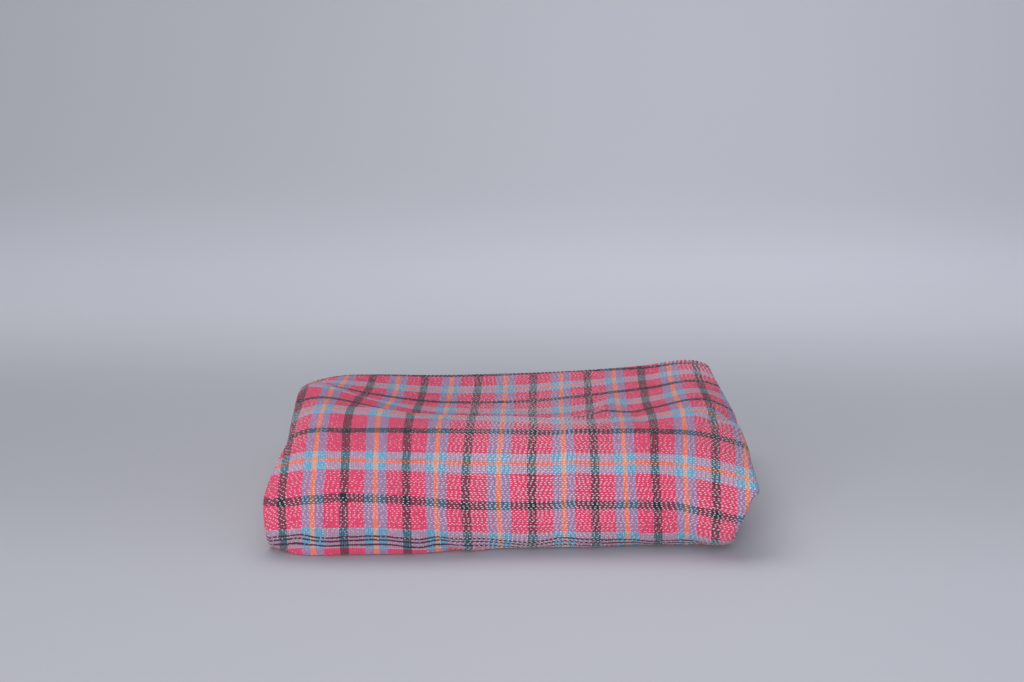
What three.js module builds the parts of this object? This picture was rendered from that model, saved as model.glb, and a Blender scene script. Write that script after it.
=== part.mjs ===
// A folded kantha bedspread: one quilted cotton sheet, lying as a soft pile of its own layers.
// The sheet is folded in three across its width, then in half three times along its length,
// so the pile is eight panels deep and each panel is three thicknesses of cloth.
// Units are millimetres. X runs along the pile, +Y away from its folded front, +Z up.
// The origin is on the surface that the pile lies on, under the middle of the pile.

import * as THREE from "three";

// The cloth
const CLOTH_THICK = 2.6;
const THICKNESSES = 3;
const PANELS = 8;
const LAYERS = THICKNESSES * PANELS;

// Distances back from the pile's foremost point, where the top's height is given
const DEPTHS = { shoulder: 70, crest: 112, slope: 153, sag: 194, trough: 235, back: 345 };
const SPINE = DEPTHS.shoulder;

// The pile's front at sections from its left end to its right end: foot is where it leaves the
// surface, nose is its foremost point and noseUp the height of that.
const FRONTS = [
  { x: -246, foot: 34, nose: 10, noseUp: 48 },
  { x: -214, foot: 5, nose: 1, noseUp: 45 },
  { x: -160, foot: 4, nose: -1, noseUp: 46 },
  { x: -103, foot: 8, nose: 1, noseUp: 48 },
  { x: -9, foot: 28, nose: 11, noseUp: 50 },
  { x: 82, foot: 34, nose: 17, noseUp: 52 },
  { x: 145, foot: 42, nose: 20, noseUp: 54 },
  { x: 205, foot: 52, nose: 11, noseUp: 48 },
  { x: 246, foot: 80, nose: 14, noseUp: 60 },
];

// Heights of the pile's top at the same sections and the distances above
const TOPS = [
  { x: -246, shoulder: 84, crest: 96, slope: 105, sag: 110, trough: 104, back: 76 },
  { x: -214, shoulder: 106, crest: 116, slope: 117, sag: 116, trough: 106, back: 84 },
  { x: -160, shoulder: 110, crest: 118, slope: 111, sag: 103, trough: 96, back: 91 },
  { x: -103, shoulder: 110, crest: 112, slope: 99, sag: 94, trough: 88, back: 94 },
  { x: -9, shoulder: 110, crest: 109, slope: 97, sag: 91, trough: 87, back: 98 },
  { x: 82, shoulder: 111, crest: 107, slope: 100, sag: 96, trough: 95, back: 101 },
  { x: 145, shoulder: 112, crest: 114, slope: 109, sag: 105, trough: 103, back: 106 },
  { x: 205, shoulder: 106, crest: 118, slope: 118, sag: 115, trough: 113, back: 111 },
  { x: 246, shoulder: 90, crest: 95, slope: 97, sag: 98, trough: 98, back: 96 },
];

// The panels of the pile, from the bottom up: where each one's side edges lie at its front and
// at its back, and how far back it reaches before it turns or ends.
const PANEL_EDGES = [
  { left: -238, leftBack: -226, right: 220, rightBack: 216, reach: 308 },
  { left: -235, leftBack: -222, right: 219, rightBack: 219, reach: 304 },
  { left: -240, leftBack: -229, right: 226, rightBack: 216, reach: 304 },
  { left: -236, leftBack: -226, right: 233, rightBack: 222, reach: 308 },
  { left: -238, leftBack: -234, right: 230, rightBack: 220, reach: 319 },
  { left: -236, leftBack: -229, right: 234, rightBack: 226, reach: 327 },
  { left: -233, leftBack: -238, right: 233, rightBack: 222, reach: 316 },
  { left: -228, leftBack: -242, right: 240, rightBack: 220, reach: 316 },
];

// The turns that join the panels, in the order in which the sheet runs through them. Each one
// bends round the edge between the layers of pile that lie inside it.
const TURNS = {
  1: { from: 5, to: 2, end: "front", steps: 5 },
  2: { from: 2, to: 1, end: "back", steps: 3 },
  3: { from: 1, to: 6, end: "front", steps: 7 },
  4: { from: 6, to: 7, end: "back", steps: 4 },
  5: { from: 7, to: 0, end: "front", steps: 9 },
  6: { from: 0, to: 3, end: "back", steps: 5 },
  7: { from: 3, to: 4, end: "front", steps: 4 },
};
const SHEET_RUN = [TURNS[1].from, ...Object.values(TURNS).map((turn) => turn.to)];
const BACK_TURN_REACH = 0.95; // a back turn's depth as a share of its half height

// Side edges of the outer turn at the front's bulge, and the right one low down, where the
// corner is tucked under
const NOSE_SPREAD = { left: -245, right: 246, low: 224 };
const TUCK = { starts: 0.38, ends: 0.64 };

// The sheet across its width: the middle line of each of its three thicknesses, in thicknesses of
// pile, the folds that join them and how far the two hems stop short
const LEVELS = { lowest: 0.5, middle: 1.5, outer: 2.5 };
const RIGHT_FOLD_STEPS = 4;
const LEFT_FOLD_STEPS = 3;
const INNER_HEM_INSET = 11; // the middle thickness stops short of the right fold
const LOWER_HEM_INSET = 6; // the lowest thickness stops short of the left fold

// The folded front's outer line: the shares of it at which it reaches the nose and the foot, and
// its curves
const NOSE_WAY = 0.5;
const FOOT_WAY = 0.85;
const FULLNESS = 0.4; // how far the upper curve keeps its direction, as a share of its span
const LEAN = 0.3; // slope of the top at the shoulder, falling to the front
const SQUARENESS = 2 / 3; // below 1, the lower curve is squarer than a quarter ellipse

const lerp = THREE.MathUtils.lerp;

// Straight-line value of one column of a table of sections at x.
function sectionValue(table, column, x) {
  let i = 1;
  while (i < table.length - 1 && x > table[i].x) i++;
  const a = table[i - 1];
  const b = table[i];
  return lerp(a[column], b[column], (x - a.x) / (b.x - a.x));
}

// Height of the pile's top at x and a distance y back from the front.
function pileHeight(x, y) {
  const names = Object.keys(DEPTHS);
  let i = 1;
  while (i < names.length - 1 && y > DEPTHS[names[i]]) i++;
  const [near, far] = [names[i - 1], names[i]];
  const share = (y - DEPTHS[near]) / (DEPTHS[far] - DEPTHS[near]);
  return lerp(sectionValue(TOPS, near, x), sectionValue(TOPS, far, x), share);
}

// The outer line of the folded front at x, as [y, z]: way 0 is on top at the spine, then down
// over the nose and back under the pile to the spine at way 1.
function frontOutline(x, way) {
  const top = sectionValue(TOPS, "shoulder", x);
  const nose = sectionValue(FRONTS, "nose", x);
  const noseUp = sectionValue(FRONTS, "noseUp", x);
  const foot = sectionValue(FRONTS, "foot", x);
  if (way <= NOSE_WAY) {
    const t = 1 - way / NOSE_WAY;
    const climb = FULLNESS * (top - noseUp);
    const run = FULLNESS * (SPINE - nose);
    return [
      cubic(t, nose, nose, SPINE - run, SPINE),
      cubic(t, noseUp, noseUp + climb, top - LEAN * run, top),
    ];
  }
  if (way <= FOOT_WAY) {
    const turn = ((way - NOSE_WAY) / (FOOT_WAY - NOSE_WAY)) * (Math.PI / 2);
    const y = foot - (foot - nose) * Math.cos(turn) ** SQUARENESS;
    return [y, noseUp * (1 - Math.sin(turn) ** SQUARENESS)];
  }
  return [lerp(foot, SPINE, (way - FOOT_WAY) / (1 - FOOT_WAY)), 0];
}

function cubic(t, a, b, c, d) {
  const s = 1 - t;
  return s * s * s * a + 3 * s * s * t * b + 3 * s * t * t * c + t * t * t * d;
}

// Where a panel's two side edges lie at a distance y back from the front.
function panelSides(panel, y) {
  const edges = PANEL_EDGES[panel];
  const share = (y - SPINE) / (DEPTHS.back - SPINE);
  return {
    left: lerp(edges.left, edges.leftBack, share),
    right: lerp(edges.right, edges.rightBack, share),
  };
}

// Stations along the sheet's length. Each gives the side edges of the panel or turn there, and
// places a point of it: x and the layer, counted in thicknesses of pile from the panel's inner face.
function panelStation(panel, y, facesUp) {
  return {
    ...panelSides(panel, y),
    place(x, layer) {
      const up = facesUp ? layer : THICKNESSES - layer;
      const height = pileHeight(x, y);
      return [y, (height * (panel * THICKNESSES + up)) / LAYERS];
    },
  };
}

function frontStation(from, to, share) {
  const [low, high] = from < to ? [from, to] : [to, from];
  const way = from < to ? 1 - share : share;
  const wide = Math.sin(Math.PI * share) * ((high - low) / (PANELS - 1));
  const tucked = THREE.MathUtils.smoothstep(way, TUCK.starts, TUCK.ends);
  const side = lerp(NOSE_SPREAD.right, NOSE_SPREAD.low, tucked);
  return {
    left: lerp(lerp(PANEL_EDGES[from].left, PANEL_EDGES[to].left, share), NOSE_SPREAD.left, wide),
    right: lerp(lerp(PANEL_EDGES[from].right, PANEL_EDGES[to].right, share), side, wide),
    place(x, layer) {
      const outward = high * THICKNESSES + (outerFaceAbove(high) ? layer : THICKNESSES - layer);
      const reach = (2 * outward) / LAYERS - 1;
      const [y, z] = frontOutline(x, way);
      const middle = sectionValue(TOPS, "shoulder", x) / 2;
      return [SPINE + reach * (y - SPINE), middle + reach * (z - middle)];
    },
  };
}

function backStation(from, to, share) {
  const [low, high] = from < to ? [from, to] : [to, from];
  const angle = Math.PI * (from < to ? share - 0.5 : 0.5 - share);
  const centre = ((low + high + 1) / 2) * THICKNESSES;
  const y = PANEL_EDGES[from].reach;
  const [start, end] = [panelSides(from, y), panelSides(to, y)];
  return {
    left: lerp(start.left, end.left, share),
    right: lerp(start.right, end.right, share),
    place(x, layer) {
      const outward = high * THICKNESSES + (outerFaceAbove(high) ? layer : THICKNESSES - layer);
      const pitch = pileHeight(x, y) / LAYERS;
      const radius = (outward - centre) * pitch;
      return [y + BACK_TURN_REACH * radius * Math.cos(angle), centre * pitch + radius * Math.sin(angle)];
    },
  };
}

// The sheet's outer face looks up in every second panel along its run, the top one among them.
function outerFaceAbove(panel) {
  return SHEET_RUN.indexOf(panel) % 2 === SHEET_RUN.indexOf(PANELS - 1) % 2;
}

function sheetStations() {
  const panelDepths = Object.values(DEPTHS).slice(0, -1);
  const stations = [];
  SHEET_RUN.forEach((panel, step) => {
    const startsAtFront = step > 0 && TURNS[step].end === "front";
    const depths = [...panelDepths, PANEL_EDGES[panel].reach];
    if (!startsAtFront) depths.reverse();
    depths.forEach((y) => stations.push(panelStation(panel, y, outerFaceAbove(panel))));
    const turn = TURNS[step + 1];
    if (!turn) return;
    const bend = turn.end === "front" ? frontStation : backStation;
    for (let i = 1; i < turn.steps; i++) stations.push(bend(turn.from, turn.to, i / turn.steps));
  });
  return stations;
}

// The sheet across its width at one station: points from the lowest thickness's hem, round the
// right fold, along the outer thickness, round the left fold and along the middle one to its
// hem. side is +1 for the face that starts underneath and ends up outside, -1 for the other.
// Each point is [x, layer], where layer counts thicknesses of pile from the panel's inner face.
function acrossSheet(station, side) {
  const { left, right, pitch } = station;
  const { lowest, middle, outer } = LEVELS;
  const knots = TOPS.slice(1, -1).map((section) => section.x);
  const half = (side * CLOTH_THICK) / 2 / pitch;
  const points = [];
  const flat = (columns, level) => columns.forEach((x) => points.push([x, level]));
  const fold = (edge, outward, from, to, steps) => {
    const middleRadius = Math.abs(to - from) / 2;
    const centre = edge - outward * (middleRadius * pitch + CLOTH_THICK / 2);
    for (let i = 0; i <= steps; i++) {
      const angle = Math.PI * (i / steps - 0.5);
      const radius = middleRadius + half;
      const climb = Math.sign(to - from) * radius * Math.sin(angle);
      points.push([centre + outward * radius * pitch * Math.cos(angle), (from + to) / 2 + climb]);
    }
  };
  flat([left + LOWER_HEM_INSET, ...knots], lowest - half);
  fold(right, 1, lowest, outer, RIGHT_FOLD_STEPS);
  flat([...knots].reverse(), outer + half);
  fold(left, -1, outer, middle, LEFT_FOLD_STEPS);
  flat([...knots, right - INNER_HEM_INSET], middle - half);
  return points;
}

// One closed surface over both faces of the sheet and its four edges.
function foldedSheet() {
  const rings = sheetStations().map((station) => {
    const levels = station.place(0, 0);
    const next = station.place(0, THICKNESSES);
    station.pitch = Math.hypot(next[0] - levels[0], next[1] - levels[1]) / THICKNESSES;
    const faces = [acrossSheet(station, 1), acrossSheet(station, -1).reverse()];
    return faces.flat().map(([x, layer]) => {
      const [y, z] = station.place(x, layer);
      return [x, y, z];
    });
  });
  const around = rings[0].length;
  const positions = rings.flat(2);
  const faces = [];
  const corner = (ring, i) => ring * around + (i % around);
  for (let ring = 0; ring < rings.length - 1; ring++) {
    for (let i = 0; i < around; i++) {
      const [a, b] = [corner(ring, i), corner(ring, i + 1)];
      const [c, d] = [corner(ring + 1, i + 1), corner(ring + 1, i)];
      faces.push(a, b, c, a, c, d);
    }
  }
  const last = rings.length - 1;
  for (let i = 0; i < around / 2 - 1; i++) {
    const j = around - 1 - i;
    faces.push(corner(0, i), corner(0, j), corner(0, i + 1));
    faces.push(corner(0, i + 1), corner(0, j), corner(0, j - 1));
    faces.push(corner(last, i), corner(last, i + 1), corner(last, j));
    faces.push(corner(last, i + 1), corner(last, j - 1), corner(last, j));
  }
  const geometry = new THREE.BufferGeometry();
  geometry.setAttribute("position", new THREE.Float32BufferAttribute(positions, 3));
  geometry.setIndex(faces);
  geometry.computeVertexNormals();
  return geometry;
}

const cotton = new THREE.MeshStandardMaterial({ color: 0xc9486b, roughness: 0.92, metalness: 0 });

const sheet = foldedSheet();
sheet.computeBoundingBox();
const box = sheet.boundingBox;

const bedspread = new THREE.Mesh(sheet, cotton);
bedspread.name = "bedspread";
bedspread.position.set(-(box.min.x + box.max.x) / 2, -(box.min.y + box.max.y) / 2, -box.min.z);

const pile = new THREE.Group();
pile.add(bedspread);

export default pile;
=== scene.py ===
"""A folded kantha bedspread: its sheet, its woven check and its rows of running stitches."""

import math

import bpy
import numpy as np
from bpy.props import FloatProperty, FloatVectorProperty, IntProperty, PointerProperty
from bpy.types import Operator, Panel, PropertyGroup
from mathutils import Matrix, Vector


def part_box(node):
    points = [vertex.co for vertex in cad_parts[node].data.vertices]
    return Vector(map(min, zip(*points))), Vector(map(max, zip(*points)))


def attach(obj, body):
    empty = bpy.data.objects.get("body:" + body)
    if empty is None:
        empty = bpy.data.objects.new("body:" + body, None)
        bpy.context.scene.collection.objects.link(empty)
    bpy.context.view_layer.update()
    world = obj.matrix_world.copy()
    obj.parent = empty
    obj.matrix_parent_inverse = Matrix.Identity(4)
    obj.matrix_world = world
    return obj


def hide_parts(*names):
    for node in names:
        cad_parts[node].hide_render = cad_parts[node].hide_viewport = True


bl_info = {
    "name": "Kantha Bedspread",
    "version": (1, 0, 0),
    "blender": (4, 5, 0),
    "location": "3D Viewport > Sidebar > Bedspread",
    "description": "Builds a folded quilted bedspread on its packed frame",
    "category": "Object",
}

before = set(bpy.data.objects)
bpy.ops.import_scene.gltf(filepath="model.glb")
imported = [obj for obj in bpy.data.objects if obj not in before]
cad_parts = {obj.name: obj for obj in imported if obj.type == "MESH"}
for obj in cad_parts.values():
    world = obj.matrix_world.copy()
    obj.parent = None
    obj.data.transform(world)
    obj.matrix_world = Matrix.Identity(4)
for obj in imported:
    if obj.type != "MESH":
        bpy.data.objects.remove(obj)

MM = 0.001


def table(columns, *rows):
    """The columns of a short table by name, each an array with one value a row."""
    return {name: np.array(values, float) for name, values in zip(columns.split(), zip(*rows))}


# The cloth, in millimetres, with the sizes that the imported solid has
CLOTH_THICK = 2.6
THICKNESSES = 3
PANELS = 8
LAYERS = THICKNESSES * PANELS

# Distances back from the pile's front, where the top's height is given
DEPTHS = table(
    "shoulder crest slope sag trough back",
    (70, 112, 153, 194, 235, 345),
)
SPINE = float(DEPTHS["shoulder"][0])
BACK = float(DEPTHS["back"][0])

# Sections of the pile from its left end to its right end, at places x along it. foot and nose are
# distances back: foot is where the front leaves the surface and nose where it is foremost. nose_up
# is the nose's height, and the others are heights of the top at the distances above.
SECTIONS = table(
    "x foot nose nose_up shoulder crest slope sag trough back",
    (-246, 34, 10, 48, 84, 96, 105, 110, 104, 76),
    (-214, 5, 1, 45, 106, 116, 117, 116, 106, 84),
    (-160, 4, -1, 46, 110, 118, 111, 103, 96, 91),
    (-103, 8, 1, 48, 110, 112, 99, 94, 88, 94),
    (-9, 28, 11, 50, 110, 109, 97, 91, 87, 98),
    (82, 34, 17, 52, 111, 107, 100, 96, 95, 101),
    (145, 42, 20, 54, 112, 114, 109, 105, 103, 106),
    (205, 52, 11, 48, 106, 118, 118, 115, 113, 111),
    (246, 80, 14, 60, 90, 95, 97, 98, 98, 96),
)

# The panels of the pile, from the bottom up: where each one's side edges lie at its front and
# at its back, and how far back it reaches before it turns or ends.
PANEL_EDGES = table(
    "left left_back right right_back reach",
    (-238, -226, 220, 216, 308),
    (-235, -222, 219, 219, 304),
    (-240, -229, 226, 216, 304),
    (-236, -226, 233, 222, 308),
    (-238, -234, 230, 220, 319),
    (-236, -229, 234, 226, 327),
    (-233, -238, 233, 222, 316),
    (-228, -242, 240, 220, 316),
)

# The panels in the order in which the sheet runs through them. The turns between them lie at
# the front and at the back by turns.
SHEET_RUN = (5, 2, 1, 6, 7, 0, 3, 4)
TOP_PANEL = PANELS - 1

# How far a turn at the back stands out, as a share of its radius
BACK_TURN_REACH = 0.95

# Where the side edges of the outermost front turn lie at the nose, and the right one lower down.
# It is tucked in from the one to the other between these shares of the way round the front.
NOSE_SPREAD = {"left": -245, "right": 246, "low": 224}
TUCK = (0.38, 0.64)

# How far in from the side edges the hems of the middle and the lowest thickness lie
INNER_HEM_INSET = 11
LOWER_HEM_INSET = 6

# Where the three thicknesses of a panel lie, counted from its inner side
LOWEST, MIDDLE, OUTER = 0.5, 1.5, 2.5

# The way round the front runs from the shoulder at 0 to the spine underneath at 1. The nose and
# the foot lie at these shares of it, and the foot stays at least so far behind the nose.
NOSE_WAY = 0.5
FOOT_WAY = 0.85
FOOT_BEHIND_NOSE = 2
FULLNESS = 0.4  # of the curve above the nose
SQUARENESS = 2 / 3  # of the curve below it, where 1 is round and less is squarer
LEAN = 0.3  # slope of the top at the shoulder, falling to the front
FRONT_SPAN = 165  # cloth from the shoulder over the nose to the spine underneath

# For the number of cells round a turn: about half the distance between two thicknesses
HALF_PITCH = 2.2
FEWEST_TURN_CELLS = 6

# Creases and ridges of the outer layers. Each runs from one point to the other, where x is along
# the pile and run is cloth back from the shoulder, or down the front where it is negative.
WRINKLES = table(
    "x0 run0 x1 run1 wide high",
    (-84, -84, -54, -132, 9, -2.4),
    (-70, -84, -36, -126, 10, 1.8),
    (160, -78, 186, -120, 11, -2.8),
    (-214, 128, -100, 92, 16, 3.0),
    (-140, 50, 30, 52, 10, 2.0),
    (-130, 98, 50, 100, 15, -3.2),
    (-190, 250, 200, 250, 22, 3.0),
    (96, 84, 104, 140, 12, 3.6),
    (132, 30, 128, 95, 10, -2.0),
    (205, 30, 240, 70, 8, -4.0),
    (-190, 10, -120, 24, 12, -1.5),
    (20, -20, 60, 18, 12, -1.2),
    (-200, -40, -185, -110, 12, 1.2),
    (60, -30, 74, -110, 14, 1.2),
    (-228, 100, -214, 124, 9, 2.5),
)

# How many times its width a crease takes to end, and over which last share of the way round the
# front all of them fade
WRINKLE_END = 1.6
WRINKLE_FADE = 0.4

# How far the check lies off its even spacing, where the cloth is pulled or gathered: LEFT_DRIFT is
# how far the stripes that run along the cloth lie to the left, and UP_DRIFT how far the others lie
# towards the shoulder. STITCHING is how much the stitches show, where the cloth is smooth and where
# it is rough. Their columns are levels along the cloth, back from the shoulder.
LEFT_DRIFT = table(
    "x low nose face top back",
    (-246, 1.5, 1.5, 1.5, 1.5, 2),
    (-224, 1.5, 1.5, 1.5, 1.5, 2.5),
    (-163, 1, 1, 1.5, 4.5, 3.5),
    (-101, 0, 0.5, 3, 4, 4),
    (-40, 2, 4, 4, 2.5, 4),
    (21, -1, 0, 0.5, 0, 2),
    (82, -3, -1, -1, 1, 1.5),
    (143, -4, -1.5, 1.5, 0.5, 2),
    (205, 2, 2.5, 2, 0, 1.5),
    (246, 2, 2.5, 2, 0, 1.5),
)
UP_DRIFT = table(
    "x low nose face top back band far",
    (-246, 13, 12, 11, 6, 0, 0, -5),
    (-224, 6, 1, 2, 2, -2, -2, -7),
    (-163, 4, 2, 0, 0, -2, -2, -8),
    (-101, 3, 1, -1, 0, -1, -1, -8),
    (-40, 4, -2, 0, 0, 1, 0, -8),
    (21, 2, 0.5, 2, -1, -2, -2, -8),
    (82, 4, 1.5, 2.5, 0, -1, -2, -11),
    (143, 0, 1, 2.5, -1, -1, -3, -22),
    (205, -2, -6, -2, 0, -2, -8, -26),
    (246, -4, -8, -2, 4, 0, -8, -26),
)
DRIFT_LEVELS = dict(low=-129, nose=-86, face=-43, top=0, back=129, band=215, far=250)
DRIFT_FADE = 120  # cloth past the outermost levels over which the drift ends
STITCHING = table(
    "x border low face shoulder top back",
    (-224, 0.4, 0.8, 0.7, 0.7, 0.2, 0.6),
    (-160, 0.1, 0.7, 0.6, 0.2, 0.1, 0.5),
    (-100, 0.15, 0.7, 0.7, 0.2, 0.2, 0.6),
    (-40, 0.8, 1.0, 1.2, 0.9, 0.65, 0.8),
    (20, 1.0, 1.15, 1.25, 1.05, 0.8, 0.8),
    (82, 0.7, 1.05, 1.2, 0.8, 0.6, 0.7),
    (143, 0.3, 0.7, 0.9, 0.3, 0.2, 0.4),
    (205, 0.8, 1.1, 1.1, 1.0, 0.3, 1.3),
)
STITCHING_LEVELS = dict(border=-132, low=-112, face=-50, shoulder=18, top=125, back=240)


def lerp(a, b, t):
    return a + (b - a) * t


def ease(t):
    """From 0 to 1 as t does, level at both ends."""
    return t * t * (3 - 2 * t)


def smooth(knots, values, at, first_slope=None):
    """A smooth curve through values at the knots, read at `at`. values may have a column for
    each place that is read. first_slope is the slope at the first knot, where it is given."""
    at = np.clip(at, knots[0], knots[-1])
    gap = np.diff(knots)
    wide = gap.reshape(-1, *[1] * (values.ndim - 1))
    rise = np.diff(values, axis=0) / wide
    slope = np.empty_like(values)
    slope[0], slope[-1] = rise[0] if first_slope is None else first_slope, rise[-1]
    slope[1:-1] = (rise[1:] * wide[:-1] + rise[:-1] * wide[1:]) / (wide[1:] + wide[:-1])
    i = np.clip(np.searchsorted(knots, at) - 1, 0, len(knots) - 2)
    t = (at - knots[i]) / gap[i]

    def pick(rows, step=0):
        index = i + step
        return rows[index] if rows.ndim == 1 else rows[index, np.arange(rows.shape[1])]

    a, b = pick(values), pick(values, 1)
    da, db = pick(slope) * gap[i], pick(slope, 1) * gap[i]
    return (
        (1 + 2 * t) * (1 - t) ** 2 * a
        + t * (1 - t) ** 2 * da
        + ease(t) * b
        - t * t * (1 - t) * db
    )


def section(column, x):
    return smooth(SECTIONS["x"], SECTIONS[column], x)


def relief(x, run):
    """How far the creases and ridges lift the outer layers at x and run."""
    out = np.zeros(np.broadcast(x, run).shape)
    for x0, run0, x1, run1, wide, high in zip(*WRINKLES.values()):
        along = np.array([x1 - x0, run1 - run0])
        length = float(np.hypot(*along))
        along /= length
        t = (x - x0) * along[0] + (run - run0) * along[1]
        off = (x - x0) * -along[1] + (run - run0) * along[0]
        past = np.maximum(0, np.maximum(-t, t - length)) / wide
        out += high * np.exp(-((off / wide) ** 2) - (past / WRINKLE_END) ** 2)
    return out


def pile_height(x, y):
    """Height of the pile's top at each x, a distance y back from the front."""
    names = list(DEPTHS)
    knots = np.array([DEPTHS[name][0] for name in names])
    heights = np.array([section(name, x) for name in names])
    return smooth(knots, heights, np.full(len(x), float(y)), LEAN) + relief(x, y - SPINE)


def curve_between(t, start, start_pull, end_pull, end):
    """A curve from start to end that leaves and arrives towards its two pulls."""
    s = 1 - t
    return s**3 * start + 3 * s * s * t * start_pull + 3 * s * t * t * end_pull + t**3 * end


def front_outline(x, way):
    """The outer line of the folded front at each x, from the shoulder at way 0, over the nose and
    back underneath to the spine at way 1."""
    top, nose, up, foot = (section(c, x) for c in ("shoulder", "nose", "nose_up", "foot"))
    foot = np.maximum(foot, nose + FOOT_BEHIND_NOSE)
    if way <= NOSE_WAY:
        t = 1 - way / NOSE_WAY
        climb = FULLNESS * (top - up)
        run = FULLNESS * (SPINE - nose)
        y = curve_between(t, nose, nose, SPINE - run, SPINE)
        return y, curve_between(t, up, up + climb, top - LEAN * run, top)
    if way <= FOOT_WAY:
        turn = (way - NOSE_WAY) / (FOOT_WAY - NOSE_WAY) * math.pi / 2
        y = foot - (foot - nose) * math.cos(turn) ** SQUARENESS
        return y, up * (1 - math.sin(turn) ** SQUARENESS)
    share = (way - FOOT_WAY) / (1 - FOOT_WAY)
    return foot + (SPINE - foot) * share, np.zeros(len(x))


def outer_face_above(panel):
    """The sheet's outer face looks up in this panel, as it does in the top one."""
    return SHEET_RUN.index(panel) % 2 == SHEET_RUN.index(TOP_PANEL) % 2


class PanelStation:
    """A place on the sheet's way where it lies in a panel."""

    def __init__(self, panel, y):
        self.panel, self.y = panel, y
        share = (y - SPINE) / (BACK - SPINE)
        edges = {name: PANEL_EDGES[name][panel] for name in PANEL_EDGES}
        self.left = lerp(edges["left"], edges["left_back"], share)
        self.right = lerp(edges["right"], edges["right_back"], share)

    def place(self, x, layer):
        up = layer if outer_face_above(self.panel) else THICKNESSES - layer
        z = pile_height(x, self.y) * (self.panel * THICKNESSES + up) / LAYERS
        return np.full(len(x), float(self.y)), z


class FrontTurn:
    """A place on the sheet's way where it bends round the pile's front."""

    def __init__(self, start, end, share):
        self.high = max(start, end)
        self.way = 1 - share if start < end else share
        wide = math.sin(math.pi * share) * (2 * self.high - PANELS + 1) / (PANELS - 1)
        t = min(1, max(0, (self.way - TUCK[0]) / (TUCK[1] - TUCK[0])))
        side = lerp(NOSE_SPREAD["right"], NOSE_SPREAD["low"], ease(t))
        left, right = PANEL_EDGES["left"], PANEL_EDGES["right"]
        self.left = lerp(lerp(left[start], left[end], share), NOSE_SPREAD["left"], wide)
        self.right = lerp(lerp(right[start], right[end], share), side, wide)

    def place(self, x, layer):
        out = layer if outer_face_above(self.high) else THICKNESSES - layer
        reach = 2 * (self.high * THICKNESSES + out) / LAYERS - 1
        y, z = front_outline(x, self.way)
        middle = section("shoulder", x) / 2
        far = np.hypot(y - SPINE, z - middle)
        fade = math.sin(math.pi * min(1, (1 - self.way) / WRINKLE_FADE) / 2)
        reach = reach * (1 + fade * relief(x, -FRONT_SPAN * self.way) / far)
        return SPINE + reach * (y - SPINE), middle + reach * (z - middle)


class BackTurn:
    """A place on the sheet's way where it bends round at the pile's back."""

    def __init__(self, start, end, share):
        self.start, self.high = start, max(start, end)
        self.angle = math.pi * (share - 0.5 if start < end else 0.5 - share)
        self.centre = (start + end + 1) / 2 * THICKNESSES
        left, right = PANEL_EDGES["left_back"], PANEL_EDGES["right_back"]
        edge = (PANEL_EDGES["reach"][start] - SPINE) / (BACK - SPINE)
        left = lerp(PANEL_EDGES["left"], left, edge)
        right = lerp(PANEL_EDGES["right"], right, edge)
        self.left = lerp(left[start], left[end], share)
        self.right = lerp(right[start], right[end], share)

    def place(self, x, layer):
        y = PANEL_EDGES["reach"][self.start]
        out = layer if outer_face_above(self.high) else THICKNESSES - layer
        pitch = pile_height(x, y) / LAYERS
        radius = (self.high * THICKNESSES + out - self.centre) * pitch
        return (
            y + BACK_TURN_REACH * radius * math.cos(self.angle),
            self.centre * pitch + radius * math.sin(self.angle),
        )


def stations(settings):
    """All the places on the sheet's way, and the first and last that face outwards: from the
    back turn into the top panel to the one out of the lowest."""
    places = []
    outermost = []
    for step, panel in enumerate(SHEET_RUN):
        fine = settings.fine_step if panel == TOP_PANEL else settings.under_step
        cell = fine if panel in (0, TOP_PANEL) else settings.inner_step
        reach = PANEL_EDGES["reach"][panel]
        depths = np.linspace(SPINE, reach, 1 + math.ceil((reach - SPINE) / cell))
        if step % 2 == 0:
            depths = depths[::-1]
        places += [PanelStation(panel, y) for y in depths]
        if step + 1 == PANELS:
            break
        if SHEET_RUN[step + 1] == TOP_PANEL:
            outermost.append(len(places))
        after = SHEET_RUN[step + 1]
        bend = FrontTurn if step % 2 == 0 else BackTurn
        way_round = math.pi * abs(after - panel) * THICKNESSES * HALF_PITCH
        cell = settings.fine_step if {panel, after} == {0, TOP_PANEL} else settings.turn_step
        count = max(FEWEST_TURN_CELLS, math.ceil(way_round / cell))
        places += [bend(panel, after, i / count) for i in range(1, count)]
        if panel == 0:
            outermost.append(len(places))
    return places, outermost


def pitch_at(station):
    """The distance between two thicknesses of cloth at a station."""
    near = station.place(np.zeros(1), np.zeros(1))
    far = station.place(np.zeros(1), np.full(1, float(THICKNESSES)))
    return float(np.hypot(far[0] - near[0], far[1] - near[1])[0]) / THICKNESSES


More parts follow.
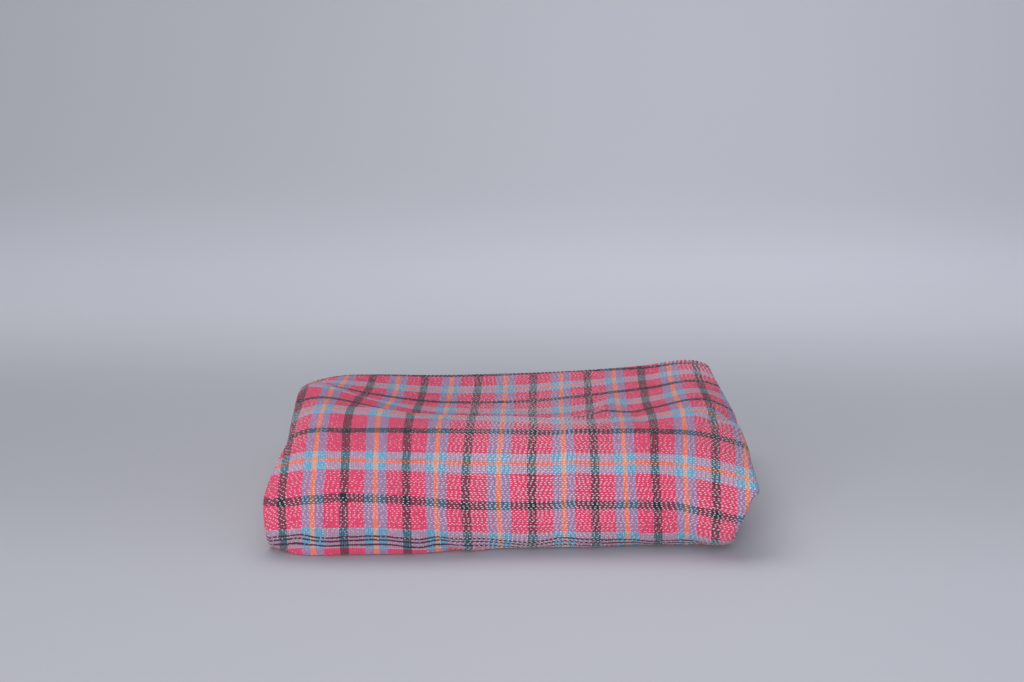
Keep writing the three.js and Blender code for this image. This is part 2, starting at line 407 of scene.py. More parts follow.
def across_sheet(station, side, settings):
    """The sheet across its width at one station, on one face: from the lowest thickness's hem,
    round the right fold, along the outer thickness, round the left fold and along the middle one
    to its hem. Gives x, the layer, the distance across the cloth and where the outer part is."""
    fine, coarse, turn = settings.columns, settings.inner_columns, settings.fold_steps
    pitch = pitch_at(station)
    half = side * CLOTH_THICK / 2 / pitch
    right = station.right - pitch - CLOTH_THICK / 2
    left = station.left + pitch / 2 + CLOTH_THICK / 2
    top = fine if side > 0 else coarse
    bend = np.linspace(0, math.pi, turn + 1)[1:-1]
    low = np.linspace(station.left + LOWER_HEM_INSET, right, coarse)
    outer = np.linspace(right, left, top)
    inner = np.linspace(left, station.right - INNER_HEM_INSET, coarse)
    x = np.concatenate([
        low,
        right + (pitch + half * pitch) * np.sin(bend),
        outer,
        left - (pitch / 2 + half * pitch) * np.sin(bend),
        inner,
    ])
    layer = np.concatenate([
        np.full(coarse, LOWEST - half),
        (LOWEST + OUTER) / 2 - (1 + half) * np.cos(bend),
        np.full(top, OUTER + half),
        (MIDDLE + OUTER) / 2 + (0.5 + half) * np.cos(bend),
        np.full(coarse, MIDDLE - half),
    ])
    cloth = np.concatenate([
        2 * right + math.pi * pitch - low,
        right + pitch * (math.pi - bend),
        outer,
        left - pitch / 2 * bend,
        2 * left - math.pi * pitch / 2 - inner,
    ])
    return x, layer, cloth, slice(coarse, coarse + 2 * len(bend) + top)


def over_cloth(values, levels, x, along):
    """A table's smooth value at each x and distance along the cloth. levels says at which distance
    each of its columns lies."""
    names = [name for name in values if name != "x"]
    rows = np.array([smooth(values["x"], values[name], x.ravel()) for name in names])
    knots = np.array([levels[name] for name in names], float)
    return smooth(knots, rows, along.ravel()).reshape(x.shape)


def drift(values, x, along):
    """How far stripes lie off their even spacing. Past the outermost levels this fades away."""
    past = np.maximum(DRIFT_LEVELS["low"] - along, along - DRIFT_LEVELS["far"])
    kept = 1 - np.clip(past / DRIFT_FADE, 0, 1)
    return over_cloth(values, DRIFT_LEVELS, x, along) * ease(kept)


def sweep_sheet(settings):
    """Places every ring of the sheet and the cloth's own distances there, in millimetres."""
    places, outermost = stations(settings)
    rings, crosswise = [], []
    for station in places:
        faces, cloths, shown = [], [], []
        for side in (1, -1):
            x, layer, cloth, outer_part = across_sheet(station, side, settings)
            faces.append(np.column_stack([x, *station.place(x, layer)]))
            cloths.append(cloth)
            shown.append(outer_part)
        rings.append(np.concatenate([faces[0], faces[1][::-1]]))
        crosswise.append(np.concatenate([cloths[0], cloths[1][::-1]]))
    first = len(faces[0])
    points = np.array(rings)
    steps = np.linalg.norm(np.diff(points, axis=0), axis=2)
    along = np.concatenate([np.zeros((1, points.shape[1])), np.cumsum(steps, axis=0)])
    spine = max(
        i
        for i, s in enumerate(places)
        if isinstance(s, PanelStation) and s.panel == TOP_PANEL and s.y == SPINE
    )
    along = along[spine] - along

    # Beyond the outer thickness the distance along the cloth is that at its edge, so the check
    # runs straight round both side folds
    bend = settings.fold_steps - 1
    for half, part in zip((along[:, :first], along[:, :first - 1:-1]), shown):
        right, left = part.start + bend, part.stop - 1 - bend
        half[:, :right] = half[:, [right]]
        half[:, left + 1:] = half[:, [left]]
    return {
        "points": points,
        "across": np.array(crosswise),
        "along": along,
        "first": first,
        "outside": shown[0],
        "outermost": outermost,
    }


def end_cap(ring, first, forward):
    """Triangles over the hem at the first or last ring, between the sheet's two faces."""
    count = len(ring)
    p = list(range(first))
    q = list(range(count - 1, first - 1, -1))

    def shares(index):
        steps = np.linalg.norm(np.diff(ring[index], axis=0), axis=1)
        return np.concatenate([[0], np.cumsum(steps) / steps.sum()])

    sp, sq = shares(p), shares(q)
    faces = []
    i = j = 0
    while i < len(p) - 1 or j < len(q) - 1:
        if j == len(q) - 1 or (i < len(p) - 1 and sp[i + 1] <= sq[j + 1]):
            face = (p[i], q[j], p[i + 1])
            i += 1
        else:
            face = (p[i], q[j], q[j + 1])
            j += 1
        faces.append(face if forward else face[::-1])
    return faces


def mesh_object(name, points, faces, material):
    mesh = bpy.data.meshes.new(name)
    mesh.from_pydata(points.tolist(), [], faces)
    mesh.validate()
    mesh.polygons.foreach_set("use_smooth", [True] * len(mesh.polygons))
    mesh.materials.append(material)
    obj = bpy.data.objects.new(name, mesh)
    bpy.context.collection.objects.link(obj)
    return obj


def srgb(*levels):
    """A colour given as 8-bit display levels, in the linear values that shaders take."""
    shares = [c / 255 for c in levels]
    return (*[c / 12.92 if c <= 0.04045 else ((c + 0.055) / 1.055) ** 2.4 for c in shares], 1)


class Graph:
    """Short words for building a node tree."""

    def __init__(self, tree):
        self.tree = tree

    def node(self, kind, inputs=(), **settings):
        made = self.tree.nodes.new(kind)
        for name, value in settings.items():
            setattr(made, name, value)
        for name, value in dict(inputs).items():
            if isinstance(value, bpy.types.NodeSocket):
                self.tree.links.new(value, made.inputs[name])
            else:
                made.inputs[name].default_value = value
        return made

    def math(self, operation, *values, clamp=False):
        made = self.node("ShaderNodeMath", enumerate(values), operation=operation, use_clamp=clamp)
        return made.outputs[0]

    def mix(self, factor, a, b, blend="MIX"):
        """Two colours mixed. The node's sockets for colours are number 6, 7 and 2."""
        inputs = {0: factor, 6: a, 7: b}
        return self.node("ShaderNodeMix", inputs, data_type="RGBA", blend_type=blend).outputs[2]

    def noise(self, place, scale, detail, roughness=0.5):
        inputs = {"Vector": place, "Scale": scale, "Detail": detail, "Roughness": roughness}
        return self.node("ShaderNodeTexNoise", inputs).outputs["Fac"]

    def wave(self, operation, distance, length):
        """A sine or cosine over a distance, which repeats after a length."""
        return self.math(operation, self.math("MULTIPLY", distance, math.tau / length))

    def carry(self, value, low, high, to_low, to_high, interpolation="LINEAR"):
        """A value carried from the range of low to high to another one, and kept inside that."""
        ends = {"From Min": low, "From Max": high, "To Min": to_low, "To Max": to_high}
        made = self.node(
            "ShaderNodeMapRange", {"Value": value, **ends}, interpolation_type=interpolation
        )
        return made.outputs[0]

    def edge(self, value, limit, soft):
        """1 where value is under limit and 0 where it is over, with a soft edge."""
        return self.carry(value, limit - soft, limit + soft, 1.0, 0.0)

    def bump(self, height, distance, strength, **inputs):
        inputs |= {"Height": height, "Distance": distance, "Strength": strength}
        return self.node("ShaderNodeBump", inputs).outputs[0]

    def surface(self, inputs):
        """The material's shader, with the values that aren't its usual ones, and its output."""
        made = self.node("ShaderNodeBsdfPrincipled", inputs)
        self.node("ShaderNodeOutputMaterial", {"Surface": made.outputs[0]})


def empty_material(name):
    material = bpy.data.materials.new(name)
    material.use_nodes = True
    material.node_tree.nodes.clear()
    return material, Graph(material.node_tree)


# The check's stripes, in millimetres: first those that run along the cloth, then those across it
CHECK = table(
    "repeat black band orange",
    (61.2, 8.6, 21.4, 4.8),
    (86.0, 9.2, 22.5, 4.8),
)
STRIPE_SOFT = 0.25
STRIPE_SWAY = (0.9, 3.0)  # how far the fine and the slow noise move the stripes' edges

# The extra dark lines near the front's lower edge, the border that they lie in, where no orange
# is woven, and how far the noises move them
BORDER_AT = -129
BORDER_HALF = 10
BORDER_SOFT = 0.4
BORDER_LINES = (-7.5, -2.5, 1.5)
LINE_HALF = 1.0
LINE_SOFT = 0.3
LINE_SWAY = (1.6, 15.0)
LINE_DEPTH = 0.95

# How much of the weft shows over the warp: everywhere, and what the weave, the ribs and the
# warp's stripes add to that. The weft's own stripes add one share on the top and one on the front.
WEFT_SHOWS = {"even": 0.5, "weave": 0.16, "ribs": 0.14, "warp_band": -0.1, "warp_black": -0.22}
WEFT_STRIPES = {"Black": (0.45, 0.19), "Band": (0.06, 0.0)}
FRONT_STARTS = 5
FRONT_SOFT = 25

# How light the cloth is: each effect multiplies it by a start and a share of the effect. The
# border's
# share is painted shade: the band along the front's lower edge is darkened where it lies near the
# floor.
TONES_AND_PAINTED_SHADE = {"fade": (0.87, 0.26), "slub": (0.83, 0.34), "ribs": (1.0, 0.1), "border": (1.0, -0.14)}

# How high the cloth's pucker and its ribs stand in the first bump, and how deep the rows lie
BUMPS = {"pucker": 1.6, "rows": -0.25, "ribs": 0.28}


def stripe_group(name, repeat, black_wide, band_wide, orange_wide):
    """Masks of one set of stripes from the distance across them: black at each repeat, and
    between those a blue band with an orange stripe in its middle."""
    tree = bpy.data.node_groups.new(name, "ShaderNodeTree")
    tree.interface.new_socket("Distance", in_out="INPUT", socket_type="NodeSocketFloat")
    for output in ("Black", "Band", "Orange"):
        tree.interface.new_socket(output, in_out="OUTPUT", socket_type="NodeSocketFloat")
    g = Graph(tree)
    start = g.node("NodeGroupInput")
    from_black = g.math("PINGPONG", start.outputs["Distance"], repeat / 2)
    from_band = g.math("SUBTRACT", repeat / 2, from_black)
    g.node("NodeGroupOutput", {
        "Black": g.edge(from_black, black_wide / 2, STRIPE_SOFT * MM),
        "Band": g.edge(from_band, band_wide / 2, STRIPE_SOFT * MM),
        "Orange": g.edge(from_band, orange_wide / 2, STRIPE_SOFT * MM),
    })
    return tree


def wavy(g, distance, noises, sways):
    """A distance made uneven. Each noise moves it by up to half its sway, either way."""
    for noise, sway in zip(noises, sways):
        shift = g.math("MULTIPLY", g.math("SUBTRACT", noise, 0.5), sway * MM)
        distance = g.math("ADD", distance, shift)
    return distance


def check_masks(g, distances, noises, offset):
    """Masks of the stripes that run along the cloth, and of those across it."""
    masks = []
    for i, name in enumerate(("Across", "Along")):
        group = stripe_group(f"Stripes {name}", *[sizes[i] * MM for sizes in CHECK.values()])
        start = offset * MM if name == "Across" else 0.0
        shifted = g.math("SUBTRACT", wavy(g, distances[i], noises, STRIPE_SWAY), start)
        masks.append(g.node("ShaderNodeGroup", {"Distance": shifted}, node_tree=group).outputs)
    return masks


def border_masks(g, along, noises):
    """Masks of the border near the front's lower edge, and of the extra lines in it."""
    away = g.math("ABSOLUTE", g.math("SUBTRACT", along, BORDER_AT * MM))
    border = g.edge(away, BORDER_HALF * MM, BORDER_SOFT * MM)
    lines = 0.0
    for place in BORDER_LINES:
        away = g.math("SUBTRACT", wavy(g, along, noises, LINE_SWAY), (BORDER_AT + place) * MM)
        line = g.edge(g.math("ABSOLUTE", away), LINE_HALF * MM, LINE_SOFT * MM)
        lines = g.math("ADD", lines, line)
    return border, lines


def weft_share(g, along, weave, ribs, warp, weft):
    """How much of the weft shows over the warp."""
    share = WEFT_SHOWS["even"]
    effects = {"weave": weave, "ribs": ribs, "warp_band": warp["Band"], "warp_black": warp["Black"]}
    for name, effect in effects.items():
        share = g.math("MULTIPLY_ADD", effect, WEFT_SHOWS[name], share)
    front = g.edge(along, FRONT_STARTS * MM, FRONT_SOFT * MM)
    for name, (on_top, on_front) in WEFT_STRIPES.items():
        strength = g.math("MULTIPLY_ADD", front, on_front - on_top, on_top)
        share = g.math("MULTIPLY_ADD", weft[name], strength, share)
    return share


def check_colour(g, settings, share, warp, weft, border, lines):
    """The check's colour, from its warp and weft threads and how much of the weft shows."""
    ink, orange, pink = settings.ink, settings.orange, settings.pink
    plain = g.math("SUBTRACT", 1.0, border)
    orange_weft = g.math("MULTIPLY", weft["Orange"], plain)
    warp_colour = g.mix(warp["Orange"], g.mix(warp["Band"], pink, settings.warp_blue), orange)
    weft_colour = g.mix(orange_weft, g.mix(weft["Band"], pink, settings.weft_blue), orange)
    warp_colour = g.mix(warp["Black"], warp_colour, ink)
    weft_colour = g.mix(weft["Black"], weft_colour, ink)
    colour = g.mix(share, warp_colour, weft_colour)
    return g.mix(g.math("MULTIPLY", lines, LINE_DEPTH, clamp=True), colour, settings.maroon)


def cloth_material(settings):
    """Checked cotton: woven stripes with worn, slubbed threads, puckered between the rows, with
    painted shade along the front's lower edge.
    """
    material, g = empty_material("checked_cotton")
    uv = g.node("ShaderNodeUVMap", uv_map="cloth").outputs[0]
    split = g.node("ShaderNodeSeparateXYZ", {0: uv})
    across, along = split.outputs[0], split.outputs[1]
    noises = (g.noise(uv, scale=900.0, detail=2.0), g.noise(uv, scale=14.0, detail=2.0))
    warp, weft = check_masks(g, (across, along), noises, settings.check_offset)
    border, lines = border_masks(g, along, noises)

    thread = settings.thread_pitch * MM
    weave = g.math("MULTIPLY", g.wave("SINE", across, thread), g.wave("SINE", along, thread))
    ribs = g.wave("SINE", across, settings.rib_pitch * MM)
    share = weft_share(g, along, weave, ribs, warp, weft)
    colour = check_colour(g, settings, share, warp, weft, border, lines)

    fade = g.noise(uv, scale=26.0, detail=5.0, roughness=0.6)
    slub = g.noise(uv, scale=420.0, detail=3.0)
    tone_and_painted_shade = 1.0
    # The border's darkening is painted shade near the floor, the fade and slubs are the cloth's own
    # tone
    for name, effect in {"fade": fade, "slub": slub, "ribs": ribs, "border": border}.items():
        start, strength = TONES_AND_PAINTED_SHADE[name]
        tone_and_painted_shade = g.math("MULTIPLY", tone_and_painted_shade, g.math("MULTIPLY_ADD", effect, strength, start))
    shaded = g.node("ShaderNodeHueSaturation", {"Value": tone_and_painted_shade, "Color": colour}).outputs[0]

    pucker = g.noise(uv, scale=190.0, detail=3.0, roughness=0.55)
    rows = g.wave("COSINE", along, settings.row_pitch * MM)
    height = 0.0
    for name, effect in {"pucker": pucker, "rows": rows, "ribs": ribs}.items():
        height = g.math("MULTIPLY_ADD", effect, BUMPS[name], height)
    bump = g.bump(height, distance=0.7 * MM, strength=0.8)
    g.surface({
        "Base Color": shaded,
        "Roughness": 0.92,
        "Specular IOR Level": 0.18,
        "Sheen Weight": 0.18,
        "Sheen Roughness": 0.5,
        "Normal": g.bump(weave, distance=0.12 * MM, strength=0.5, Normal=bump),
    })
    return material


def thread_material(settings):
    """Twisted cotton thread, once white, with a little of the cloth's pink in it."""
    material, g = empty_material("white_thread")
    place = g.node("ShaderNodeTexCoord").outputs["Object"]
    soil = g.noise(place, scale=60.0, detail=3.0)
    twist = g.node("ShaderNodeTexWave", {"Vector": place, "Scale": 900.0, "Distortion": 2.0})
    g.surface({
        "Base Color": g.mix(soil, settings.thread_pale, settings.thread_soiled),
        "Roughness": 0.8,
        "Sheen Weight": 0.1,
        "Normal": g.bump(twist.outputs["Fac"], distance=0.1 * MM, strength=0.4),
    })
    return material


def value_setting(name, description, default, unit="NONE"):
    """A number that a user can change."""
    return FloatProperty(name=name, description=description, default=default, unit=unit)


def size_setting(name, description, default):
    """A size in millimetres that a user can change."""
    return value_setting(name, f"{description}, in mm", default)


def colour_setting(name, description, default):
    """A colour that a user can change."""
    return FloatVectorProperty(
        name=name,
        description=description,
        default=default,
        size=len(default),
        min=0.0,
        max=1.0,
        subtype="COLOR",
    )


class BedspreadSettings(PropertyGroup):
    fine_step: size_setting("Fine step", "Length of a cell on the top and front", 3.0)
    under_step: size_setting("Under step", "Length of a cell underneath", 8.0)
    inner_step: size_setting("Inner step", "Length of a cell inside", 22.0)
    turn_step: size_setting("Turn step", "Length of a cell in an inner turn", 7.0)
    columns: IntProperty(name="Columns", description="Points across an outer face", default=170)
    inner_columns: IntProperty(
        name="Inner columns", description="Points across a hidden face", default=14
    )
    fold_steps: IntProperty(name="Fold steps", description="Steps round a side fold", default=9)
    check_offset: size_setting("Check offset", "Where a black stripe runs along the cloth", 21.1)
    thread_pitch: size_setting("Thread pitch", "Distance between threads", 0.9)
    rib_pitch: size_setting("Rib pitch", "Distance between ribs", 1.75)
    row_pitch: size_setting("Row pitch", "Distance between stitched rows", 2.05)
    stitch_pitch: size_setting("Stitch pitch", "Distance between stitches", 4.6)
    stitch_long: size_setting("Stitch length", "Length of a stitch that shows", 2.9)
    stitch_wide: size_setting("Stitch width", "Width of the thread", 0.88)
    stitch_high: size_setting("Stitch height", "How far the thread stands out", 0.16)
    seed: IntProperty(name="Seed", description="Start of the random numbers", default=11)
    pink: colour_setting("Pink", "Threads between the stripes", srgb(230, 76, 114))
    warp_blue: colour_setting("Warp blue", "Blue threads along the cloth", srgb(106, 156, 198))
    weft_blue: colour_setting("Weft blue", "Blue threads across the cloth", srgb(122, 198, 222))
    orange: colour_setting("Orange", "Threads in the middle of the blue", srgb(252, 155, 104))
    ink: colour_setting("Ink", "Black threads", srgb(42, 48, 58))
    maroon: colour_setting("Maroon", "Dark lines at the front's lower edge", srgb(88, 34, 54))
    thread_pale: colour_setting("Pale thread", "Clean sewing thread", srgb(246, 218, 226))
    thread_soiled: colour_setting("Soiled thread", "Worn sewing thread", srgb(232, 218, 228))


class StageSettings(PropertyGroup):
    camera_place: FloatVectorProperty(
        name="Camera place",
        description="Where the camera stands",
        default=(0.038, -1.674, 0.6405),
        unit="LENGTH",
    )
    camera_turn: value_setting(
        "Camera turn", "How far the camera looks to the left", math.radians(1.38), "ROTATION"
    )
    camera_tilt: value_setting(
        "Camera tilt", "How far the camera looks down", math.radians(15.5), "ROTATION"
    )
    lens: size_setting("Lens", "Focal length on a sensor 36 mm wide", 58.0)
    key_power: value_setting("Key power", "Power of the light above", 26.0, "POWER")
    fill_power: value_setting("Fill power", "Power of the light in front", 40.0, "POWER")
    lamp_colour: colour_setting("Light colour", "Colour of both lights", (1.0, 0.99, 0.98))
    world_strength: value_setting("World strength", "Strength of the even light", 0.4)
    world_colour: colour_setting("World colour", "Colour of the even light", srgb(222, 226, 238))
    paper_dull: colour_setting("Dull paper", "Darker patches of the floor", srgb(219, 221, 229))
    paper_bright: colour_setting("Bright paper", "Lighter patches of the floor", srgb(225, 227, 234))


def shift_to_frame(points):
    """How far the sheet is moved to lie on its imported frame: the two boxes get the same middle
    and the same underside."""
    lo, hi = (np.array(c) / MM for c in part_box("bedspread"))
    low, high = points.reshape(-1, 3).min(axis=0), points.reshape(-1, 3).max(axis=0)
    shift = (lo + hi - low - high) / 2
    shift[2] = lo[2] - low[2]
    return shift


def sheet_faces(points, first):
    """The faces between each two rings of points, and those over the hem at both ends."""
    rings, around = points.shape[:2]
    ring, column = np.meshgrid(np.arange(rings - 1), np.arange(around), indexing="ij")
    after, right = ring + 1, (column + 1) % around
    corners = ((ring, column), (ring, right), (after, right), (after, column))
    quads = np.stack([r * around + c for r, c in corners], axis=-1).reshape(-1, 4).tolist()
    last = (rings - 1) * around
    caps = end_cap(points[0], first, True)
    caps += [tuple(i + last for i in face) for face in end_cap(points[-1], first, False)]
    return quads + caps


def lay_cloth_map(mesh, swept):
    """Gives each corner its distances on the cloth, moved where the check drifts."""
    x, along = swept["points"][..., 0], swept["along"]
    across = swept["across"] + drift(LEFT_DRIFT, x, along)
    along = along - drift(UP_DRIFT, x, along)
    places = np.column_stack([across.ravel(), along.ravel()]) * MM
    corners = np.empty(len(mesh.loops), int)
    mesh.loops.foreach_get("vertex_index", corners)
    mesh.uv_layers.new(name="cloth").data.foreach_set("uv", places[corners].ravel())


SHARP_ANGLE = math.radians(50)  # the hems' edges are sharper than this, the folds are smoother


class BEDSPREAD_OT_sheet(Operator):
    """Builds the folded sheet with its woven check"""

    bl_idname = "bedspread.build_sheet"
    bl_label = "Build Sheet"

    def execute(self, context):
        settings = context.scene.bedspread
        swept = sweep_sheet(settings)
        points = swept["points"] + shift_to_frame(swept["points"])
        faces = sheet_faces(points, swept["first"])
        material = cloth_material(settings)
        obj = mesh_object("bedspread_cloth", points.reshape(-1, 3) * MM, faces, material)
        lay_cloth_map(obj.data, swept)
        obj.data.set_sharp_from_angle(angle=SHARP_ANGLE)
        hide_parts("bedspread")
        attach(obj, "root")
        return {"FINISHED"}


# Where the rows of stitching are parted into pieces, as distances back from the shoulder, and the
# stretches of an inner panel's rows that show at the left and right ends of the pile
ZONE_ENDS = (235, -5, -150)
LEFT_EDGE = 10
RIGHT_EDGE = 17

# Each row's stitches are shifted by a share of their pitch against the row before. The sewing is
# uneven: where a row lies, how far it is shifted and its stitches' pitch differ by shares of a
# pitch, a stitch's place by millimetres, and its length and width by shares of the full size.
ROW_SHIFT = 0.5
UNEVEN = {"row": 0.1, "shift": 0.16, "pitch": 0.03, "place": 0.25, "length": 0.1, "width": 0.07}

# Slow waves of the rows: height as a share of their pitch, and millimetres for each radian
ROW_WAVES = ((0.12, 37), (0.1, 13))

# How many stitches are kept and how much of its full size a stitch has: where it doesn't show at
# all, and what full showing adds
BY_SHOWING = {"kept": (0.1, 0.95), "length": (0.6, 0.4), "width": (0.65, 0.35), "height": (0.5, 1)}

# A row's values at each column: place, outward direction and distance across the cloth
PLACE = slice(0, 3)
OUTWARD = slice(3, 6)
ACROSS = 6

# A stitch: at which shares of its length its two shoulders lie, how far its ends and its sides
# are sunk into the cloth, and its faces over two ends and two shoulders of three points each
SHOULDERS = (0.28, 0.72)
SUNK_ENDS = 0.25
SUNK_SIDES = 0.1
STITCH_FACES = np.array([
    (0, 2, 1), (0, 3, 2), (1, 2, 4), (2, 5, 4),
    (2, 3, 5), (3, 6, 5), (4, 5, 7), (5, 6, 7),
])
STITCH_POINTS = 8
TINY = 1e-9  # keeps a direction without length from being divided by 0


def stitch_lines(swept, points, span, settings, rng):
    """Rows of stitching over a span of the sheet's stations: the distance along the cloth of each
    row, and its values at each column. They are nan where a row runs past the span."""
    start, end = span
    columns = swept["outside"]
    grid = points[start:end, columns]
    cloth_x = swept["across"][start:end, columns]
    cloth_y = swept["along"][start:end, columns]
    normal = np.cross(np.gradient(grid, axis=1), np.gradient(grid, axis=0))
    normal /= np.linalg.norm(normal, axis=2, keepdims=True) + TINY
    pitch = settings.row_pitch
    least, most = math.ceil(cloth_y.min() / pitch) + 1, math.floor(cloth_y.max() / pitch)
    rows = np.arange(least, most) * pitch
    rows = rows + rng.normal(0, UNEVEN["row"], len(rows)) * pitch
    sway = rng.uniform(0, math.tau, (len(rows), 1))
    x = cloth_x.mean(axis=0)
    waves = [high * np.sin(x / long + i * sway) for i, (high, long) in enumerate(ROW_WAVES, 1)]
    wander = pitch * sum(waves)
    values = np.concatenate([grid, normal, cloth_x[..., None]], axis=2)
    index = np.arange(end - start)
    lines = np.empty((len(rows), *values.shape[1:]))
    for i in range(values.shape[1]):
        at = np.interp(-(rows + wander[:, i]), -cloth_y[:, i], index, math.nan, math.nan)
        for k in range(values.shape[2]):
            lines[:, i, k] = np.interp(at, index, values[:, i, k])
    return rows, lines[:, ::-1]


def by_showing(name, shows):
    """One of the shares above for stitches that show this much."""
    start, added = BY_SHOWING[name]
    return start + added * shows


def stitch_meshes(line, starts, length, wide, high):
    """Short bars of thread along a line on the cloth, each open where it lies on the cloth."""
    def at(distance):
        columns = [np.interp(distance, line[:, ACROSS], line[:, k]) for k in range(ACROSS)]
        return np.column_stack(columns)

    reach = np.linalg.norm((at(starts + length) - at(starts))[:, PLACE], axis=1)
    length = length * np.minimum(1, length / reach)
    first, last = at(starts), at(starts + length)
    direction = (last - first)[:, PLACE]
    direction /= np.linalg.norm(direction, axis=1, keepdims=True)
    verts = np.empty((len(starts), STITCH_POINTS, 3))
    verts[:, 0] = first[:, PLACE] - SUNK_ENDS * first[:, OUTWARD]
    verts[:, -1] = last[:, PLACE] - SUNK_ENDS * last[:, OUTWARD]
    for k, share in zip((1, 4), SHOULDERS):
        spot = at(starts + share * length)
        place, normal = spot[:, PLACE], spot[:, OUTWARD]
        sideways = np.cross(normal, direction)
        sideways /= np.linalg.norm(sideways, axis=1, keepdims=True)
        half = (wide / 2)[:, None]
        verts[:, k] = place - half * sideways - SUNK_SIDES * normal
        verts[:, k + 1] = place + high[:, None] * normal
        verts[:, k + 2] = place + half * sideways - SUNK_SIDES * normal
    faces = STITCH_FACES + STITCH_POINTS * np.arange(len(starts))[:, None, None]
    return verts.reshape(-1, 3), faces.reshape(-1, 3)


def sew(rows, lines, settings, rng, edges_only=False):
    """The mesh of the stitches along rows. With edges_only, just those round the side folds."""
    verts, faces = [], []
    shift = 0.0
    done = 0
    for row, line in zip(rows, lines):
        shift += ROW_SHIFT + rng.normal(0, UNEVEN["shift"])
        line = line[np.isfinite(line[:, 0])]
        if len(line) < 2:
            continue
        pitch = settings.stitch_pitch * (1 + rng.normal(0, UNEVEN["pitch"]))
        first, last = line[0, ACROSS], line[-1, ACROSS]
        starts = np.arange(first + (shift % 1) * pitch, last - pitch, pitch)
        starts = starts + rng.normal(0, UNEVEN["place"], len(starts))
        if edges_only:
            starts = starts[(starts < first + LEFT_EDGE) | (starts > last - RIGHT_EDGE)]
        shows = over_cloth(STITCHING, STITCHING_LEVELS, starts, np.full(len(starts), row))
        kept = rng.random(len(starts)) < by_showing("kept", shows)
        starts, shows = starts[kept], shows[kept]
        longer = by_showing("length", shows) + rng.normal(0, UNEVEN["length"], len(starts))
        wider = by_showing("width", shows) + rng.normal(0, UNEVEN["width"], len(starts))
        length, wide = settings.stitch_long * longer, settings.stitch_wide * wider
        high = settings.stitch_high * by_showing("height", shows)
        row_verts, row_faces = stitch_meshes(line, starts, length, wide, high)
        faces.append(row_faces + done)
        verts.append(row_verts)
        done += len(row_verts)
    return np.concatenate(verts), np.concatenate(faces)


class BEDSPREAD_OT_stitches(Operator):
    """Sews the rows of running stitches, all over outside and round the folds at the ends"""

    bl_idname = "bedspread.sew_stitches"
    bl_label = "Sew Stitches"

    def execute(self, context):
        settings = context.scene.bedspread
        rng = np.random.default_rng(settings.seed)
        swept = sweep_sheet(settings)
        points = swept["points"] + shift_to_frame(swept["points"])
        start, end = swept["outermost"]
        rows, lines = stitch_lines(swept, points, (start, end), settings, rng)
        back, top, front = ZONE_ENDS
        zones = {
            "back": rows > back,
            "top": (rows <= back) & (rows > top),
            "front": (rows <= top) & (rows > front),
            "under": rows <= front,
        }
        sewn = {}
        for zone, chosen in zones.items():
            sewn[zone] = sew(rows[chosen], lines[chosen], settings, rng)
        for side, span in (("inner", (0, start)), ("outer", (end, len(points)))):
            rows, lines = stitch_lines(swept, points, span, settings, rng)
            sewn[f"ends_{side}"] = sew(rows, lines, settings, rng, edges_only=True)
        material = thread_material(settings)
        for zone, (verts, faces) in sewn.items():
            obj = mesh_object(f"bedspread_stitches_{zone}", verts * MM, faces.tolist(), material)
            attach(obj, "root")
        return {"FINISHED"}


# Painted light and shade on the paper at distances back from the pile's middle, in metres: darkest
# from the middle to 0.5 m back, a painted shadow round the pile, and lightest 0.72 to 1.25 m back, a
# painted band of light. The colour ramp that holds this starts at PAPER_START and is PAPER_SPAN
# long.
# From left to right the painted light changes too, darker on the left and lighter on the right,
# between a reach to either side.
PAINTED_PAPER_LIGHT_AND_SHADE = table(
    "back level",
    (-0.6, 0.87),
    (-0.2, 0.83),
    (0.0, 0.73),
    (0.3, 0.68),
    (0.5, 0.75),
    (0.72, 0.89),
    (1.0, 0.97),
    (1.25, 0.98),
    (1.5, 0.87),
    (1.75, 0.83),
    (2.6, 0.87),
)
PAPER_START = -1.0
PAPER_SPAN = 4.0
PAINTED_PAPER_SLANT = {"reach": 0.7, "left": 0.91, "right": 1.08}
BEND_POINTS = 24

# Where each light stands, where it aims and its size, in metres
LIGHTS = {
    "Key": {"place": (-0.3, 0.7, 2.2), "aim": (0, 0, 0), "size": (2.2, 1.4)},
    "Fill": {"place": (-0.7, -2.5, 0.42), "aim": (0, 0, 0.05), "size": (1.8, 0.6)},
}
SENSOR_WIDE = 36


def area_light(name, power, colour, place, aim, size):
    light = bpy.data.lights.new(name, "AREA")
    light.shape = "RECTANGLE"
    light.size, light.size_y = size
    light.energy = power
    light.color = colour
    obj = bpy.data.objects.new(name, light)
    obj.location = place
    obj.rotation_euler = (Vector(aim) - Vector(place)).to_track_quat("-Z", "Y").to_euler()
    bpy.context.collection.objects.link(obj)
    return obj


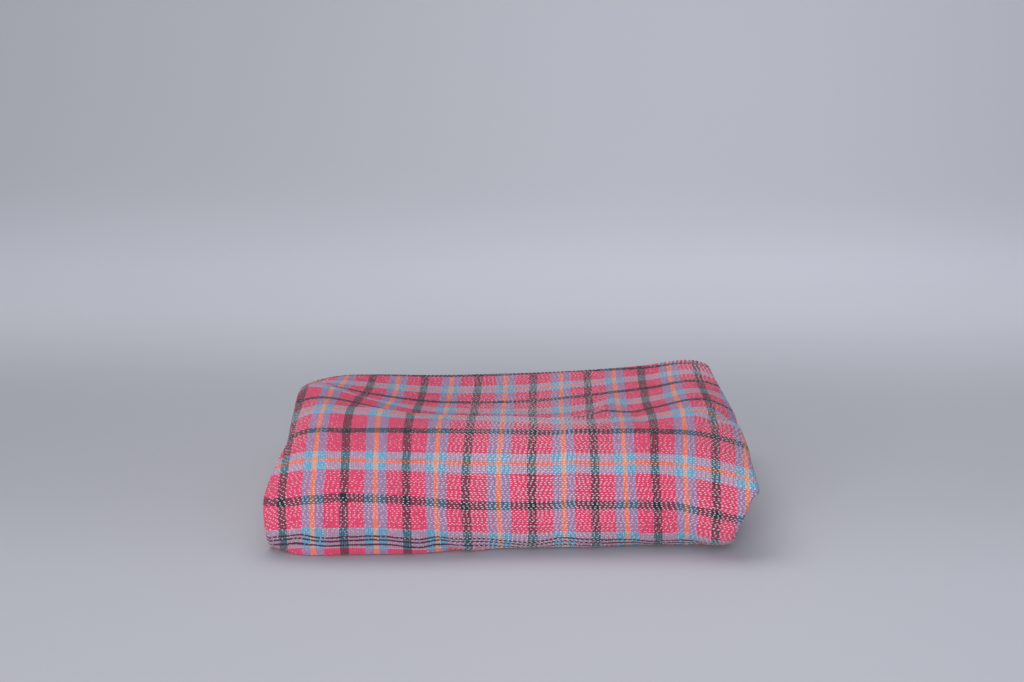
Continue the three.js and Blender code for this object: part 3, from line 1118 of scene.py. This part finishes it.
def paper_material(stage):
    """Pale paper that is a little lighter or darker from place to place at random, with painted
    shade round the pile, a painted band of light behind it and painted light that grows from left to
    right.
    """
    material, g = empty_material("floor_paper")
    place = g.node("ShaderNodeTexCoord").outputs["Object"]
    mottle = g.noise(place, scale=0.9, detail=2.0)
    colour = g.mix(mottle, stage.paper_dull, stage.paper_bright)
    split = g.node("ShaderNodeSeparateXYZ", {0: place})
    right, back = split.outputs[0], split.outputs[1]
    # Painted light from left to right: the paper is darker on the left and lighter on the right
    reach, sides = PAINTED_PAPER_SLANT["reach"], (PAINTED_PAPER_SLANT["left"], PAINTED_PAPER_SLANT["right"])
    painted_slant = g.carry(right, -reach, reach, *sides, "SMOOTHSTEP")
    # Painted shadow round the pile and a painted band of light further back, by distance back
    along_ramp = g.math("DIVIDE", g.math("SUBTRACT", back, PAPER_START), PAPER_SPAN)
    painted_shade = g.node("ShaderNodeValToRGB", {"Fac": along_ramp})
    ramp = painted_shade.color_ramp
    ramp.interpolation = "CARDINAL"
    spots = (PAINTED_PAPER_LIGHT_AND_SHADE["back"] - PAPER_START) / PAPER_SPAN
    ramp.elements[0].position, ramp.elements[-1].position = spots[0], spots[-1]
    for spot in spots[1:-1]:
        ramp.elements.new(spot)
    for element, level in zip(ramp.elements, PAINTED_PAPER_LIGHT_AND_SHADE["level"]):
        element.color = (level, level, level, 1)
    colour = g.mix(1.0, colour, painted_shade.outputs[0], "MULTIPLY")
    colour = g.mix(1.0, colour, painted_slant, "MULTIPLY")
    g.surface({"Base Color": colour, "Roughness": 0.85, "Specular IOR Level": 0.2})
    return material


def paper_sweep(stage, bend_at, bend, wide, near, high):
    """A floor of paper that curves up into a wall behind the pile."""
    angles = np.linspace(0, math.pi / 2, BEND_POINTS)
    line = [(near, 0.0)]
    line += [(bend_at + bend * math.sin(a), bend * (1 - math.cos(a))) for a in angles]
    line.append((bend_at + bend, high))
    points = np.array([(x, y, z) for y, z in line for x in (-wide, wide)])
    faces = [(2 * i, 2 * i + 1, 2 * i + 3, 2 * i + 2) for i in range(len(line) - 1)]
    return mesh_object("floor", points, faces, paper_material(stage))


class BEDSPREAD_OT_stage(Operator):
    """Sets the camera, the pale floor and the soft lights"""

    bl_idname = "bedspread.set_stage"
    bl_label = "Set Stage"

    def execute(self, context):
        scene = context.scene
        stage = scene.bedspread_stage
        camera_data = bpy.data.cameras.new("Camera")
        camera_data.lens = stage.lens
        camera_data.sensor_width = SENSOR_WIDE
        camera = bpy.data.objects.new("Camera", camera_data)
        turn = Matrix.Rotation(stage.camera_turn, 4, "Z")
        tilt = Matrix.Rotation(math.pi / 2 - stage.camera_tilt, 4, "X")
        camera.matrix_world = Matrix.Translation(Vector(stage.camera_place)) @ turn @ tilt
        scene.collection.objects.link(camera)
        scene.camera = camera

        floor = paper_sweep(stage, bend_at=1.2, bend=1.1, wide=7.0, near=-3.0, high=3.2)
        powers = {"Key": stage.key_power, "Fill": stage.fill_power}
        lights = [
            area_light(name, powers[name], stage.lamp_colour, **spot)
            for name, spot in LIGHTS.items()
        ]
        world = bpy.data.worlds.new("World")
        world.use_nodes = True
        background = world.node_tree.nodes["Background"]
        background.inputs["Color"].default_value = stage.world_colour
        background.inputs["Strength"].default_value = stage.world_strength
        scene.world = world
        scene.view_settings.view_transform = "Standard"
        return {"FINISHED"}


class BEDSPREAD_PT_panel(Panel):
    bl_label = "Bedspread"
    bl_idname = "BEDSPREAD_PT_panel"
    bl_space_type = "VIEW_3D"
    bl_region_type = "UI"
    bl_category = "Bedspread"

    def draw(self, context):
        layout = self.layout
        for operator in (BEDSPREAD_OT_sheet, BEDSPREAD_OT_stitches, BEDSPREAD_OT_stage):
            layout.operator(operator.bl_idname)
        for settings in (context.scene.bedspread, context.scene.bedspread_stage):
            box = layout.box()
            for name in settings.__annotations__:
                box.prop(settings, name)


CLASSES = (
    BedspreadSettings,
    StageSettings,
    BEDSPREAD_OT_sheet,
    BEDSPREAD_OT_stitches,
    BEDSPREAD_OT_stage,
    BEDSPREAD_PT_panel,
)


def register():
    for cls in CLASSES:
        bpy.utils.register_class(cls)
    bpy.types.Scene.bedspread = PointerProperty(type=BedspreadSettings)
    bpy.types.Scene.bedspread_stage = PointerProperty(type=StageSettings)


def unregister():
    del bpy.types.Scene.bedspread_stage
    del bpy.types.Scene.bedspread
    for cls in reversed(CLASSES):
        bpy.utils.unregister_class(cls)


def main():
    register()
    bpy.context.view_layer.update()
    bpy.ops.bedspread.build_sheet()
    bpy.ops.bedspread.sew_stitches()
    bpy.ops.bedspread.set_stage()


if __name__ == "__main__":
    main()
